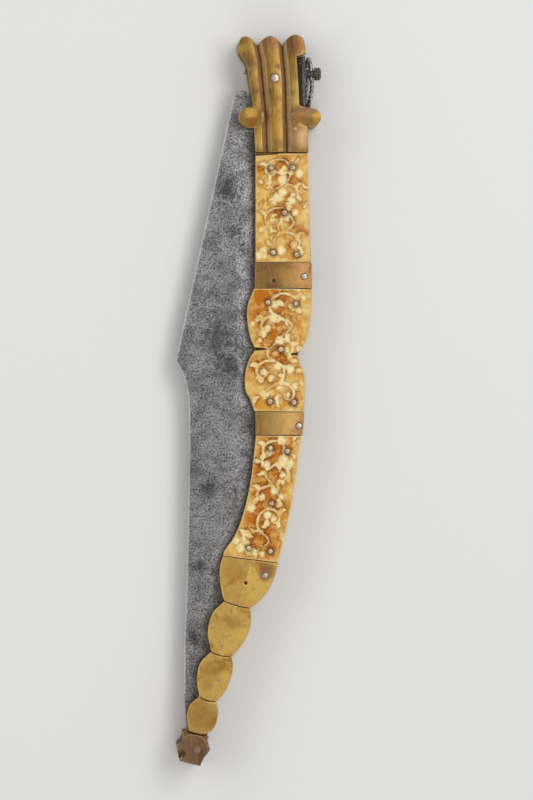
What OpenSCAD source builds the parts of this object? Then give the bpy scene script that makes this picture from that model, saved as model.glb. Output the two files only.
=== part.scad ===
// A large folding knife, closed and lying on its side. Two brass liners carry bone
// panels and brass mounts on both faces. The blade turns on the pivot pin and locks
// open on a back spring, and a ring through a stud pulls the spring off it.
// X runs from the blade to the back spring, Y towards the head, Z up from the table.

/* [Handle] */

// Gap between the two liners, where the blade lies
slot = 5.2; // [5:0.1:5.8]
// Thickness of a brass liner
liner_t = 1.5; // [1.2:0.1:1.7]
// Height of a bone panel over its liner, at its crown
bone_rise = 4; // [3.4:0.1:4.2]
// Radius of the bone across the handle
bone_round = 45; // [40:1:80]
// How far the liners show beyond the bone
liner_show = 0.2; // [0.1:0.1:0.6]
// Length of the closed knife, from its crown to the end of the finial
closed_long = 365.4; // [340:0.2:420]

/* [Head] */

// Height of the head bolster's ribs over the liner
rib_rise = 4.8; // [4.5:0.1:5.3]
// Radius across a rib
rib_round = 20; // [17:0.5:28]
// Depth of the V grooves filed between the ribs, under the ribs' crowns
groove_deep = 2.2; // [1.9:0.1:2.8]
// Half of the knife's thickness, from the middle to the ears and the finial
half_t = 10; // [9.9:0.1:10.6]

/* [Blade] */

// Thickness of the blade at its spine
blade_t = 4.4; // [3.6:0.1:4.4]
// Width of the ground bevel up from the cutting edge
grind = 15; // [10:1:20]
// Diameter of the pivot pin
pivot_d = 3.7; // [3:0.1:4.4]
// Radius of the round tang about the pivot
tang_r = 11; // [10:0.1:11.2]

/* [Spring and ring] */

// Half width of the spring's head, over the rails
rail_z = 4.2; // [4:0.1:4.4]
// Thickness of the ring's wire
wire_d = 2.2; // [1.6:0.1:2.3]
// How deep the ring hangs from its stud, between the middles of its limbs
ring_depth = 8.6; // [7:0.1:8.7]
// Lean of the hanging ring towards the handle, in degrees
ring_lean = 8; // [2:1:9]

/* [Pins] */

// Diameter of the pins in the bone
bone_pin_d = 2.4; // [1.8:0.1:3]
// Diameter of the rivets through the back of the handle
back_pin_d = 2.8; // [2:0.1:3.2]

/* [Hidden] */

$fn = 64;
run_gap = 0.08;
seat_gap = 0.02;
liner_z = slot / 2;
face_z = slot / 2 + liner_t;
bone_top = face_z + bone_rise;
band_top = bone_top + 0.3;
rib_top = face_z + rib_rise;
ear_fall = 0.16;
small_pin_d = 1.8;
stud_y = 3.1;
stud_x = 18.3;
bar_low = -2.4;
bar_high = 5.2;
bar_face = 16;

// The pivot stands here in the finished frame
pivot_at = [12.975, closed_long / 2 - 21.758, half_t];

// The head keeps its size. Below it, every place spreads along the handle with the length
head_end = -38.3;
stretch = (closed_long - 60.1) / (365.4 - 60.1);
function lower(q) = q[1] < head_end ? [q[0], head_end + (q[1] - head_end) * stretch] : q;
function all_lower(p) = [for (q = p) lower(q)];

head_rivet_at = [9.95, -25.3];
spring_rivet_at = lower([14.7, -99.1]);
back_rivets_at = all_lower([[12.05, -173.9], [-5, -248.7]]);
bead_rivet_at = lower([-28.15, -301.05]);
finial_rivet_at = lower([-38.9, -335.2]);
upper_pins = all_lower([[-1.7, -44.8], [8.95, -44.55], [4.8, -67.3], [-0.9, -87.15], [10.95, -88.2]]);
middle_pins = all_lower([[-3.5, -112.15], [10.5, -112.7], [3, -135.65], [-2.4, -161.65], [9.6, -162.15]]);
lower_pins = all_lower([[-2.25, -185.05], [6.35, -186.55], [-1.65, -212.6], [-13.05, -235.05],
    [-2.25, -236.55]]);
band_pin_at = lower([-0.4, -101.25]);
tail_pin_at = lower([-14.65, -252.3]);

// Lines down the middle of each stretch of the handle
upper_line = all_lower([[3.6, -38], [4.1, -92]]);
middle_line = all_lower([[2.4, -105], [0, -167]]);
lower_line = all_lower([[3, -179], [-11, -241]]);
waist_cuts = [all_lower([[-16, -134.2], [-16, -136.2], [-4.2, -135.5]]),
    all_lower([[16, -138.9], [16, -137.1], [8.3, -137.9]])];
tail_line = all_lower([[-11.5, -240], [-18.5, -263]]);
beads_line = all_lower([[-20, -263], [-38, -328]]);

// How far each joint of the tail bows down, from the bulb to the last bead
tail_bows = [0.5, 0.8, 0.8, 0.5];

// Edges of the handle from the head down, each as one smooth line of points
middle_left = all_lower([[-10.4, -105.2], [-13.2, -112], [-14, -118], [-13.2, -125.5], [-11.9, -131],
    [-9.9, -135.7], [-12.2, -139.2], [-14.3, -145], [-15, -149.5], [-14.7, -156], [-12.5, -160.2], [-10.4, -166.4]]);
middle_right = all_lower([[18.6, -105.4], [18.5, -116.3], [17.4, -126.5], [15.3, -133], [11.8, -138.2],
    [14.1, -145], [15.4, -150], [15.4, -157], [14.9, -166.8]]);
lower_left = all_lower([[-9.5, -178.7], [-10.5, -188], [-12, -200.2], [-14.4, -212.3], [-17.7, -223.2],
    [-21.1, -230.5], [-25.3, -236.5], [-25.9, -238.7]]);
lower_right = all_lower([[13.5, -179], [11.7, -194.2], [9.3, -209.9], [6, -226.3], [2, -242.3]]);
bulb_left = all_lower([[-25.9, -239.1], [-27.4, -244.5], [-27.4, -251.7], [-26.2, -258.4], [-25.3, -261.2]]);
bulb_right = all_lower([[1.7, -242.7], [-0.5, -250.5], [-3.5, -256.5], [-7.7, -261.4], [-12.2, -264.8]]);
bead_left = [
    all_lower([[-25.3, -261.7], [-30.8, -267], [-33.2, -274], [-33.4, -279], [-32.5, -283.5], [-31.8, -286.4]]),
    all_lower([[-32.2, -287], [-37.3, -292.4], [-38.9, -299], [-38.7, -304], [-37.6, -308.9]]),
    all_lower([[-38.2, -309.5], [-42.2, -313], [-43.8, -318], [-43.5, -323], [-42.8, -326]])];
bead_right = [
    all_lower([[-12.4, -265.3], [-11.9, -270.5], [-12.9, -276.5], [-15.5, -282], [-19.4, -287],
        [-21.7, -288.8]]),
    all_lower([[-21.7, -289.4], [-21, -294.5], [-22.2, -300.5], [-24.8, -306.5], [-28.9, -311.1]]),
    all_lower([[-29.5, -311.7], [-28.5, -316.5], [-29.3, -322], [-31.6, -326], [-35, -327.6]])];
finial_left = all_lower([[-46.1, -326.6], [-46.4, -330.8], [-49.2, -333.9], [-46.4, -337.3], [-48, -340.9]]);
finial_right = all_lower([[-37.4, -343.6], [-35.7, -339.6], [-32.5, -335.2], [-34.6, -332], [-33, -329.3]]);
cutting_edge = all_lower([[-6.4, -26], [-4.4, -86], [-3.4, -136], [-5.4, -176], [-9.4, -211], [-16.4, -241],
    [-21.4, -261], [-28.4, -286], [-35.4, -311], [-41.9, -326.4]]);
spine = all_lower([[-20.15, -7.2], [-49.55, -141.3]]);
clip = all_lower([[-49.55, -141.3], [-48.2, -143.5], [-45.3, -149.5], [-43.9, -154.7], [-43.2, -160],
    [-42.8, -169], [-42.8, -181], [-43.5, -231], [-44.4, -259.5], [-45.3, -287.5], [-45.2, -308],
    [-44, -325]]);
head_ridge = [[14.6, -14], [13.8, 12]];
leaf_back = all_lower([[15.6, -12.8], [16.1, -37], [17.2, -92], [17.2, -104.6]]);
leaf_belly = all_lower([[12, -104.6], [12, -94], [12.6, -60], [12.4, -37], [13.2, -12.8]]);

// A smooth line through points, with steps straight pieces between each pair
function smooth(p, steps = 4) = let (n = len(p)) [
    for (i = [0 : n - 2]) for (k = [0 : (i == n - 2 ? steps : steps - 1)])
        let (a = p[max(i - 1, 0)], b = p[i], c = p[i + 1], d = p[min(i + 2, n - 1)], t = k / steps)
            (b * 2 + (c - a) * t + (a * 2 - b * 5 + c * 4 - d) * t * t
                + (b * 3 - a - c * 3 + d) * t * t * t) / 2];
function back(p) = [for (i = [len(p) - 1 : -1 : 0]) p[i]];
function rest(p) = [for (i = [1 : len(p) - 1]) p[i]];
function shift(p, dx) = [for (q = p) [q[0] + dx, q[1]]];
// Distance of a point from a line in plan
function off_line(p, l) = let (d = (l[1] - l[0]) / norm(l[1] - l[0]), q = p - l[0])
    abs(q[0] * d[1] - q[1] * d[0]);
// Height of a surface of radius r with its crown at top, over a point beside its line
function crown(p, l, r, top) = top - r + sqrt(r * r - pow(off_line(p, l), 2));

// Points between two corners of the tail, bowed by deep towards the finial
function bowed(a, b, deep) = let (d = (beads_line[1] - beads_line[0]) / norm(beads_line[1] - beads_line[0]))
    [for (t = [0.2, 0.4, 0.6, 0.8]) a + (b - a) * t + d * deep * 4 * t * (1 - t)];
function last(p) = p[len(p) - 1];

module placed() {
    translate(pivot_at) children();
}

module rear() {
    mirror([0, 0, 1]) children();
}

// A plate over an outline, from z0 up to z1
module plate(points, z0, z1) {
    translate([0, 0, z0]) linear_extrude(z1 - z0) polygon(points);
}

// A round bar along a line in plan, its crown at top
module crown_bar(l, r, top) {
    d = l[1] - l[0];
    translate([l[0][0], l[0][1], top - r])
        rotate([0, 0, atan2(d[1], d[0])])
            rotate([0, 90, 0])
                translate([0, 0, -40]) cylinder(r = r, h = norm(d) + 80, $fn = 128);
}

// A roof along a line in plan, its ridge at top, falling by slope on both sides
module roof(l, top, slope) {
    d = l[1] - l[0];
    translate([l[0][0], l[0][1], 0])
        rotate([0, 0, atan2(d[1], d[0])])
            rotate([90, 0, 90])
                translate([0, 0, -40])
                    linear_extrude(norm(d) + 80)
                        polygon([[-30, -30], [30, -30], [30, top - 30 * slope], [0, top], [-30, top - 30 * slope]]);
}

// An upright hole or pin
module post(p, d, z0, z1) {
    translate([p[0], p[1], z0]) cylinder(d = d, h = z1 - z0, $fn = 48);
}

// A pin with a slightly domed head at z1
module domed_pin(p, d, z0, z1) {
    intersection() {
        post(p, d, z0, z1);
        translate([p[0], p[1], z1 - 4.2]) sphere(r = 4.2, $fn = 64);
    }
}

// A rivet right through, domed at both ends
module through_pin(p, d, z1) {
    intersection() {
        post(p, d, -z1, z1);
        translate([p[0], p[1], 0]) sphere(r = z1, $fn = 96);
    }
}

// Takes off one side of the blade above a slope that starts at height e over line p to q
module slope_cut(p, q, e, wide, extra) {
    d = q - p;
    translate([p[0], p[1], e])
        rotate([0, 0, atan2(d[1], d[0])])
            rotate([atan2(blade_t / 2 - e, wide), 0, 0])
                translate([-extra[0], -9, 0]) cube([norm(d) + extra[0] + extra[1], wide + 12, 8]);
}

head_edge = concat(
    smooth([[-17.9, 12.9], [-18.45, 15.6], [-18.1, 18.1], [-16.8, 20], [-14.7, 20.7], [-12.2, 19.8], [-10.2, 17.7],
        [-8.6, 16.6]]),
    rest(smooth([[-8.6, 16.6], [-6.4, 19], [-4.2, 20.5], [-2.4, 21], [-0.4, 20.5], [1.8, 18.8], [3.6, 16.4]])),
    rest(smooth([[3.6, 16.4], [5.3, 18.8], [7.5, 20.9], [10.4, 21.8], [12.7, 21.2], [14.4, 19.5], [15.1, 16.4],
        [15.5, 12.25]])));
// The notch at the back of the head where the spring's head lies
recess = [[10.9, 10.9], [10.8, 9.6], [11.3, 3.3], [12.2, -13.5], [16.35, -14.9]];
// The V grooves between the ribs, and the outlines of the leaf-shaped ears
grooves = [[[-8.8, 17], [-7.2, 9.3], [-4.7, -16.5], [-3.9, -36.9]], [[3.6, 17], [5.2, -1], [6.2, -36.9]]];
left_ear = [[-18.5, -19.9], [-17.2, -16.9], [-14.3, -15], [-10.7, -15], [-6.7, -16.7], [-5.6, -18.6],
    [-5.7, -20.8], [-6.6, -22.8], [-9.4, -24.6], [-12.4, -25.1], [-15.4, -24.2], [-17.6, -22.6]];
right_ear = [[7.8, -19], [9.5, -16.8], [12.8, -15], [16.4, -14.6], [20.4, -15.5], [22.5, -17.3], [23.1, -19.7],
    [22.2, -22.1], [19.9, -23.9], [17.2, -24.2], [14.2, -22.8], [10.2, -20.8]];
head_left = [[-9.75, -36.9], [-10.4, -25], [-11, -13.2], [-12.3, -5], [-13.5, 3.3], [-14.5, 7.9]];

module head_bolster() {
    difference() {
        union() {
            intersection() {
                plate(concat(head_edge, recess, [[16.8, -36.9]], head_left), face_z, half_t);
                difference() {
                    union() {
                        crown_bar([[-13.8, 16.5], [-7, -36.9]], rib_round, rib_top);
                        crown_bar([[-2.4, 16.5], [1.2, -36.9]], rib_round, rib_top);
                        crown_bar([[10, 16.5], [11.1, -36.9]], rib_round, rib_top);
                    }
                    for (g = grooves) valley(g, rib_top - groove_deep);
                }
            }
            ear(left_ear, [[-18.5, -20.4], [-5.6, -19]]);
            ear(right_ear, [[7.8, -19], [23.1, -19.7]]);
        }
        post([0, 0], pivot_d + 2 * seat_gap, 0, half_t + 1);
        post(head_rivet_at, small_pin_d + 2 * seat_gap, 0, half_t + 1);
    }
}

// A leaf laid over the side of the head, falling to both sides of its ridge
module ear(points, ridge) {
    intersection() {
        plate(rest(smooth(concat(points, [points[0]]))), face_z, half_t);
        roof(ridge, half_t, ear_fall);
    }
}

// A V groove along straight stretches in plan, its bottom at height z
module valley(line, z) {
    for (i = [0 : len(line) - 2]) {
        d = line[i + 1] - line[i];
        translate([line[i][0], line[i][1], z])
            rotate([0, 0, atan2(d[1], d[0])])
                rotate([90, 0, 90])
                    translate([0, 0, i == 0 ? -6 : -0.1])
                        linear_extrude(norm(d) + (i == 0 ? 6 : 0.1) + (i == len(line) - 2 ? 6 : 0.1))
                            polygon([[0, 0], [4, 3.6], [-4, 3.6]]);
    }
}

module liner() {
    left_tail = concat(smooth(lower_left, 2), smooth(bulb_left, 2), smooth(bead_left[0], 2),
        smooth(bead_left[1], 2), smooth(bead_left[2], 2));
    right_tail = concat(smooth(lower_right, 2), smooth(bulb_right, 2), smooth(bead_right[0], 2),
        smooth(bead_right[1], 2), smooth(bead_right[2], 2));
    difference() {
        union() {
            plate(concat([[-14.3, 8.3], [-17, 12.8], [-17.5, 15.8], [-14.7, 19.7], [-8.7, 15.3], [-2.4, 20.1],
                [3.6, 15.2], [10.4, 20.9], [13.6, 18.9], [14.7, 12.2]], recess,
                [[16.7, -36.9], [16.95, -38]], all_lower([[18.3, -92], [18.6, -105.4]]),
                smooth(middle_right, 2), all_lower([[14.4, -167], [13.6, -178.6]]), shift(right_tail, -0.3),
                all_lower([[-38, -329], [-42.5, -327]]), back(shift(left_tail, 0.3)),
                all_lower([[-9.5, -178.6], [-9.6, -167]]), back(smooth(middle_left, 2)),
                all_lower([[-9.9, -105], [-9.9, -92]]), [[-9.7, -38], [-9.6, -36.9], [-10.2, -25],
                [-10.8, -13.2], [-12.1, -5], [-13.3, 3.3]]), liner_z, face_z);
            plate(all_lower([[-45.5, -327.1], [-48.7, -334], [-48, -340], [-43, -342.5], [-37.6, -343.2],
                [-33.2, -335.4], [-33.7, -329.2], [-34, -325], [-41, -323]]), liner_z, face_z);
        }
        holes(liner_z - 1, face_z + 1, seat_gap);
    }
}

// Every hole through a liner
module holes(z0, z1, gap) {
    post([0, 0], pivot_d + 2 * gap, z0, z1);
    post(head_rivet_at, small_pin_d + 2 * gap, z0, z1);
    post(spring_rivet_at, back_pin_d + 2 * gap, z0, z1);
    for (p = back_rivets_at) post(p, back_pin_d + 2 * gap, z0, z1);
    post(bead_rivet_at, small_pin_d + 2 * gap, z0, z1);
    post(finial_rivet_at, back_pin_d + 2 * gap, z0, z1);
    for (p = concat(upper_pins, middle_pins, lower_pins)) post(p, bone_pin_d + 2 * gap, z0, z1);
    for (p = [band_pin_at, tail_pin_at]) post(p, small_pin_d + 2 * gap, z0, z1);
}

// A bone panel between two edges, crowned across the handle and pierced for its pins
module bone(left, right, line, pins) {
    difference() {
        intersection() {
            plate(concat(shift(right, -liner_show), back(shift(left, liner_show))), face_z, half_t);
            crown_bar(line, bone_round, bone_top);
        }
        for (p = pins) post(p, bone_pin_d + 2 * seat_gap, 0, half_t + 1);
    }
}

module upper_bone() {
    bone(all_lower([[-9.7, -38.2], [-9.7, -91.8]]), all_lower([[17, -37.3], [18.2, -91.8]]), upper_line,
        upper_pins);
}

module middle_bone() {
    difference() {
        bone(smooth(middle_left), smooth(middle_right), middle_line, middle_pins);
        for (c = waist_cuts) plate(c, face_z - 1, half_t + 1);
    }
}

module lower_bone() {
    bone(smooth(lower_left), smooth(lower_right), lower_line, lower_pins);
}

// A brass band across the handle
module band(points, line, pins, pin_d) {
    difference() {
        intersection() {
            plate(points, face_z, half_t);
            crown_bar(line, bone_round + 2, band_top);
        }
        for (i = [0 : len(pins) - 1]) post(pins[i], pin_d[i] + 2 * seat_gap, 0, half_t + 1);
    }
}

module upper_band() {
    band(all_lower([[-9.9, -92.1], [18.5, -92.1], [18.7, -105], [-10, -104.8]]), upper_line,
        [spring_rivet_at, band_pin_at], [back_pin_d, small_pin_d]);
}

module lower_band() {
    band(all_lower([[-9.7, -166.8], [14.9, -167.2], [14, -178.5], [-9.6, -178.3]]), middle_line,
        [back_rivets_at[0]], [back_pin_d]);
}

module tail_bolster() {
    difference() {
        intersection() {
            plate(concat(smooth(bulb_right), bowed(last(bulb_right), last(bulb_left), tail_bows[0]),
                back(smooth(bulb_left))), face_z, half_t);
            roof(tail_line, half_t - 0.6, 0.16);
        }
        post(back_rivets_at[1], back_pin_d + 2 * seat_gap, 0, half_t + 1);
        post(tail_pin_at, small_pin_d + 2 * seat_gap, 0, half_t + 1);
    }
}

module tail_beads() {
    difference() {
        union() {
            for (i = [0 : 2])
                intersection() {
                    plate(concat(smooth(bead_right[i]),
                        bowed(last(bead_right[i]), last(bead_left[i]), tail_bows[i + 1]),
                        back(smooth(bead_left[i])), bowed(bead_left[i][0], bead_right[i][0], tail_bows[i])),
                        face_z, half_t);
                    roof(beads_line, half_t - 0.9, 0.22);
                }
            plate(all_lower([[-27.5, -281], [-17.5, -281], [-23, -292], [-25.5, -302], [-30.5, -315],
                [-31.5, -321], [-40.5, -321], [-40, -315], [-36.5, -304], [-35.5, -294]]),
                face_z, face_z + 1.6);
        }
        post(bead_rivet_at, small_pin_d + 2 * seat_gap, 0, half_t + 1);
    }
}

module finial() {
    difference() {
        intersection() {
            plate(concat(smooth(finial_left), smooth(finial_right)), face_z, half_t);
            translate(concat(lower([-41, -335.2]), 0)) cylinder(r1 = 7.4 + half_t, r2 = 7.4, h = half_t, $fn = 96);
        }
        post(finial_rivet_at, back_pin_d + 2 * seat_gap, 0, half_t + 1);
    }
}

module front_liner() {
    color("#b08a3a") placed() liner();
}

module rear_liner() {
    color("#b08a3a") placed() rear() liner();
}

module front_head_bolster() {
    color("#b5892f") placed() head_bolster();
}

module rear_head_bolster() {
    color("#b5892f") placed() rear() head_bolster();
}

module front_upper_bone() {
    color("#d9b26a") placed() upper_bone();
}

module rear_upper_bone() {
    color("#d9b26a") placed() rear() upper_bone();
}

module front_middle_bone() {
    color("#d9b26a") placed() middle_bone();
}

module rear_middle_bone() {
    color("#d9b26a") placed() rear() middle_bone();
}

module front_lower_bone() {
    color("#d9b26a") placed() lower_bone();
}

module rear_lower_bone() {
    color("#d9b26a") placed() rear() lower_bone();
}

module front_upper_band() {
    color("#b5892f") placed() upper_band();
}

module rear_upper_band() {
    color("#b5892f") placed() rear() upper_band();
}

module front_lower_band() {
    color("#b5892f") placed() lower_band();
}

module rear_lower_band() {
    color("#b5892f") placed() rear() lower_band();
}

module front_tail_bolster() {
    color("#b5892f") placed() tail_bolster();
}

module rear_tail_bolster() {
    color("#b5892f") placed() rear() tail_bolster();
}

module front_tail_beads() {
    color("#b5892f") placed() tail_beads();
}

module rear_tail_beads() {
    color("#b5892f") placed() rear() tail_beads();
}

module front_finial() {
    color("#9c7a3c") placed() finial();
}

module rear_finial() {
    color("#9c7a3c") placed() rear() finial();
}

// The strip between the liners along the back, from the upper band to the finial
module back_spacer() {
    outer = concat(all_lower([[17.4, -105.6]]), shift(smooth(middle_right, 2), -0.5),
        all_lower([[14, -167], [13.1, -178.6]]),
        shift(smooth(concat(lower_right, bulb_right), 2), -0.6),
        shift(concat(bead_right[0], bead_right[1], bead_right[2]), -0.6),
        all_lower([[-34.3, -329.2], [-33.8, -335.2], [-36.5, -340.5], [-38, -342.6], [-43, -342],
        [-47.6, -339.8], [-48, -334], [-46.4, -330]]));
    inner = all_lower([[-41.4, -328.6], [-37.9, -322], [-34, -312], [-30.2, -300.5], [-26.6, -289],
        [-22.3, -276], [-19.6, -266], [-12.3, -256.5], [-6.6, -242], [-2.6, -226], [0.6, -210], [3, -194],
        [5.2, -180], [6.4, -167], [7, -150], [5, -138], [9, -126], [9.5, -105.6]]);
    color("#7d7a72") placed()
        difference() {
            plate(concat(outer, inner), -liner_z, liner_z);
            holes(-liner_z - 1, liner_z + 1, seat_gap);
        }
}

// One forging: a leaf along the back, and a wide head whose bar drops behind the
// open blade's heel, with a fork over the bar and a window under it
module lock_spring() {
    color("#4f4b45") placed()
        difference() {
            union() {
                intersection() {
                    plate([[13.2, -13], [15.6, -14.1], [15.6, bar_low], [bar_face, bar_low + 0.4],
                        [bar_face, bar_high], [15.6, bar_high + 0.4], [15.6, 11.85], [11.3, 10.45],
                        [11.3, 9.5], [11.9, 3.3]], -rail_z, rail_z);
                    roof(head_ridge, rail_z, 0.35);
                    rear() roof(head_ridge, rail_z, 0.35);
                }
                plate(concat(leaf_back, leaf_belly), 0.3 - liner_z, liner_z - 0.3);
            }
            translate([8, bar_high, -liner_z]) cube([12, 10, slot]);
            translate([8, -11.4, -liner_z]) cube([12, bar_low + 11.4, slot]);
            for (y = [8.2, 9.6])
                for (z = [-rail_z, rail_z])
                    translate([14, y, z]) rotate([45, 0, 0]) cube([12, 0.8, 0.8], center = true);
            post(spring_rivet_at, back_pin_d + 2 * run_gap, -slot, slot);
        }
}

// A turned stud with a milled head, cross-drilled for the ring
module spring_stud() {
    color("#6a655c") placed()
        translate([0, stud_y, 0])
            difference() {
                union() {
                    translate([bar_face + 0.05, 0, 0]) rotate([0, 90, 0])
                        cylinder(r = 2.1, h = 4.4, $fn = 48);
                    translate([20.3, 0, 0]) rotate([0, 90, 0])
                        cylinder(r = 3.2, h = 2.7, $fn = 64);
                    translate([22.9, 0, 0]) rotate([0, 90, 0])
                        cylinder(r1 = 3, r2 = 2.2, h = 0.7, $fn = 64);
                }
                translate([stud_x, -4, 0]) rotate([-90, 0, 0])
                    cylinder(d = wire_d + 0.6, h = 8, $fn = 48);
                for (i = [0 : 15])
                    rotate([22.5 * i, 0, 0])
                        translate([20, 0, 3.3]) rotate([0, 90, 0]) cylinder(r = 0.35, h = 4, $fn = 16);
            }
}

// A long ring of round wire that hangs from the stud by its near limb
module pull_ring() {
    r = ring_depth / 2;
    low = -14 + wire_d / 2 + r;
    high = 12.1 - wire_d / 2 - r;
    color("#6a655c") placed()
        translate([stud_x, 0, 0]) rotate([0, 90 + ring_lean, 0]) {
            for (x = [0, ring_depth])
                translate([x, low, 0]) rotate([-90, 0, 0]) cylinder(d = wire_d, h = high - low, $fn = 48);
            translate([r, high, 0])
                rotate_extrude(angle = 180, $fn = 96) translate([r, 0]) circle(d = wire_d, $fn = 48);
            translate([r, low, 0]) rotate([0, 0, 180])
                rotate_extrude(angle = 180, $fn = 96) translate([r, 0]) circle(d = wire_d, $fn = 48);
        }
}

module blade() {
    heel = [[-12.4, -5.6], [-13.65, -8], [-13.95, -6.1], [-18.6, -5.55], [-19.7, -6]];
    color("#8f9094") placed()
        difference() {
            union() {
                translate([0, 0, -blade_t / 2]) cylinder(r = tang_r, h = blade_t, $fn = 96);
                plate(concat([[-9.5, -3]], heel, [spine[0]], smooth(clip, 2), back(cutting_edge),
                    [[-3, -20.5], [1, -10]]), -blade_t / 2, blade_t / 2);
                plate([[-9, 6], [-11.6, 7.9], [-14.4, 6.2], [-15.4, 3], [-10, 2.8]], -blade_t / 2, blade_t / 2);
            }
            for (side = [0, 1])
                mirror([0, 0, side]) {
                    for (i = [0 : len(cutting_edge) - 2])
                        slope_cut(cutting_edge[i + 1], cutting_edge[i], 0.2, grind, [14, i == 0 ? 0 : 14]);
                    slope_cut(spine[0], spine[1], 1.5, 1, [0.6, 0.4]);
                    slope_cut(lower([-42.8, -176]), lower([-44.4, -259.5]), 1.5, 0.9, [0, 0.2]);
                    slope_cut(lower([-44.4, -259.5]), lower([-45.3, -300]), 1.5, 0.9, [0.2, 0]);
                }
            post([0, 0], pivot_d + 2 * run_gap, -blade_t, blade_t);
        }
}

module pivot_pin() {
    color("#b9b4a8") placed() through_pin([0, 0], pivot_d, min(half_t, rib_top + 0.2));
}

module head_rivet() {
    color("#c4bfae") placed() through_pin(head_rivet_at, small_pin_d, min(half_t, rib_top + 0.1));
}

module spring_rivet() {
    color("#a8a294") placed()
        through_pin(spring_rivet_at, back_pin_d, crown(spring_rivet_at, upper_line, bone_round + 2, band_top) + 0.4);
}

module back_rivets() {
    color("#a8a294") placed() {
        through_pin(back_rivets_at[0], back_pin_d,
            crown(back_rivets_at[0], middle_line, bone_round + 2, band_top) + 0.4);
        through_pin(back_rivets_at[1], back_pin_d,
            half_t - 0.6 - 0.16 * off_line(back_rivets_at[1], tail_line) + 0.3);
    }
}

module bead_rivet() {
    color("#a8a294") placed()
        through_pin(bead_rivet_at, small_pin_d, half_t - 0.9 - 0.22 * off_line(bead_rivet_at, beads_line) + 0.2);
}

module finial_rivet() {
    color("#a8a294") placed() through_pin(finial_rivet_at, back_pin_d, half_t);
}

// The short pins of one face, each through its bone panel and the liner
module bone_pins() {
    for (p = upper_pins)
        domed_pin(p, bone_pin_d, liner_z, crown(p, upper_line, bone_round, bone_top) + 0.3);
    for (p = middle_pins)
        domed_pin(p, bone_pin_d, liner_z, crown(p, middle_line, bone_round, bone_top) + 0.3);
    for (p = lower_pins)
        domed_pin(p, bone_pin_d, liner_z, crown(p, lower_line, bone_round, bone_top) + 0.3);
}

module front_bone_pins() {
    color("#b9b4a8") placed() bone_pins();
}

module rear_bone_pins() {
    color("#b9b4a8") placed() rear() bone_pins();
}

// The two small pins of one face, in the upper band and in the tail bolster
module brass_pins() {
    domed_pin(band_pin_at, small_pin_d, liner_z,
        crown(band_pin_at, upper_line, bone_round + 2, band_top) + 0.2);
    domed_pin(tail_pin_at, small_pin_d, liner_z,
        half_t - 0.6 - 0.16 * off_line(tail_pin_at, tail_line) + 0.2);
}

module front_brass_pins() {
    color("#8f7a55") placed() brass_pins();
}

module rear_brass_pins() {
    color("#8f7a55") placed() rear() brass_pins();
}

front_liner();
rear_liner();
front_head_bolster();
rear_head_bolster();
front_upper_bone();
rear_upper_bone();
front_middle_bone();
rear_middle_bone();
front_lower_bone();
rear_lower_bone();
front_upper_band();
rear_upper_band();
front_lower_band();
rear_lower_band();
front_tail_bolster();
rear_tail_bolster();
front_tail_beads();
rear_tail_beads();
front_finial();
rear_finial();
back_spacer();
lock_spring();
spring_stud();
pull_ring();
blade();
pivot_pin();
head_rivet();
spring_rivet();
back_rivets();
bead_rivet();
finial_rivet();
front_bone_pins();
rear_bone_pins();
front_brass_pins();
rear_brass_pins();
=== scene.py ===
# %% [markdown]
# # A large folding knife in brass, bone and steel
# The knife lies closed on its side. The imported model gives every piece its place and size.
# This script gives the pieces their surfaces: tarnished brass, stained bone with inlaid
# scrolls, forged steel and a twisted pull ring. The model is loaded first, and its box is
# kept, so that the floor can be laid just under it.

# %% Load the model
import math

import bpy
import bmesh
import numpy as np
from mathutils import Matrix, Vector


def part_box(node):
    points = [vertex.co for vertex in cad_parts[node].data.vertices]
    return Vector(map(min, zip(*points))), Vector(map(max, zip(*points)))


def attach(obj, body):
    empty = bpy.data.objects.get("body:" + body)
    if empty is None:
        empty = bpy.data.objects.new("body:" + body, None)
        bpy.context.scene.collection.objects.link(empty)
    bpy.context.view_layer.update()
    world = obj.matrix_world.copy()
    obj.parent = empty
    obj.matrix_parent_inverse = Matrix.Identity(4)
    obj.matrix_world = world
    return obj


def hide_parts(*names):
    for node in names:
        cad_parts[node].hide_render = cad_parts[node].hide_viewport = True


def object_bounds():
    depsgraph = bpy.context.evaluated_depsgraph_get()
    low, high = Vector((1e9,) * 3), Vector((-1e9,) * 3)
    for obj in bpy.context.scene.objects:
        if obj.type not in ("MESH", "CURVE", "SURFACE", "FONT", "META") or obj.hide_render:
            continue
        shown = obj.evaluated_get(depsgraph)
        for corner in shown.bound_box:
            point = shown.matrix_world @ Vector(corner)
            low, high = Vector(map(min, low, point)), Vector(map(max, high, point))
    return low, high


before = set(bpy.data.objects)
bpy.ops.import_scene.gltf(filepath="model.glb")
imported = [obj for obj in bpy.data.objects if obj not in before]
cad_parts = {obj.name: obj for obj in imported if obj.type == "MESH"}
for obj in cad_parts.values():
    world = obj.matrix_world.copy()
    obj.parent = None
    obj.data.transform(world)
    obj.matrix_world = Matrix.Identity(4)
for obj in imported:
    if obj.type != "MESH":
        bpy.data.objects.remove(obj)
cad_box = [list(corner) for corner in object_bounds()]
print("pieces", len(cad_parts), "box in mm", [[round(1000 * v, 1) for v in c] for c in cad_box])

# %% [markdown]
# The knife was drawn about its pivot pin, in millimetres. The pin's box gives the pivot's
# place, so one function turns those plain drawing sizes into metres in the scene.

# %% From the drawing to the scene
pin_low, pin_high = (np.array(corner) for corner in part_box("pivot_pin"))
pivot = (pin_low + pin_high) / 2


def to_scene(points):
    """Millimetres about the pivot to metres in the scene: place = pivot + point / 1000."""
    return pivot + np.asarray(points, float) / 1000


print("pivot in mm", [round(1000 * v, 2) for v in pivot])

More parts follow.
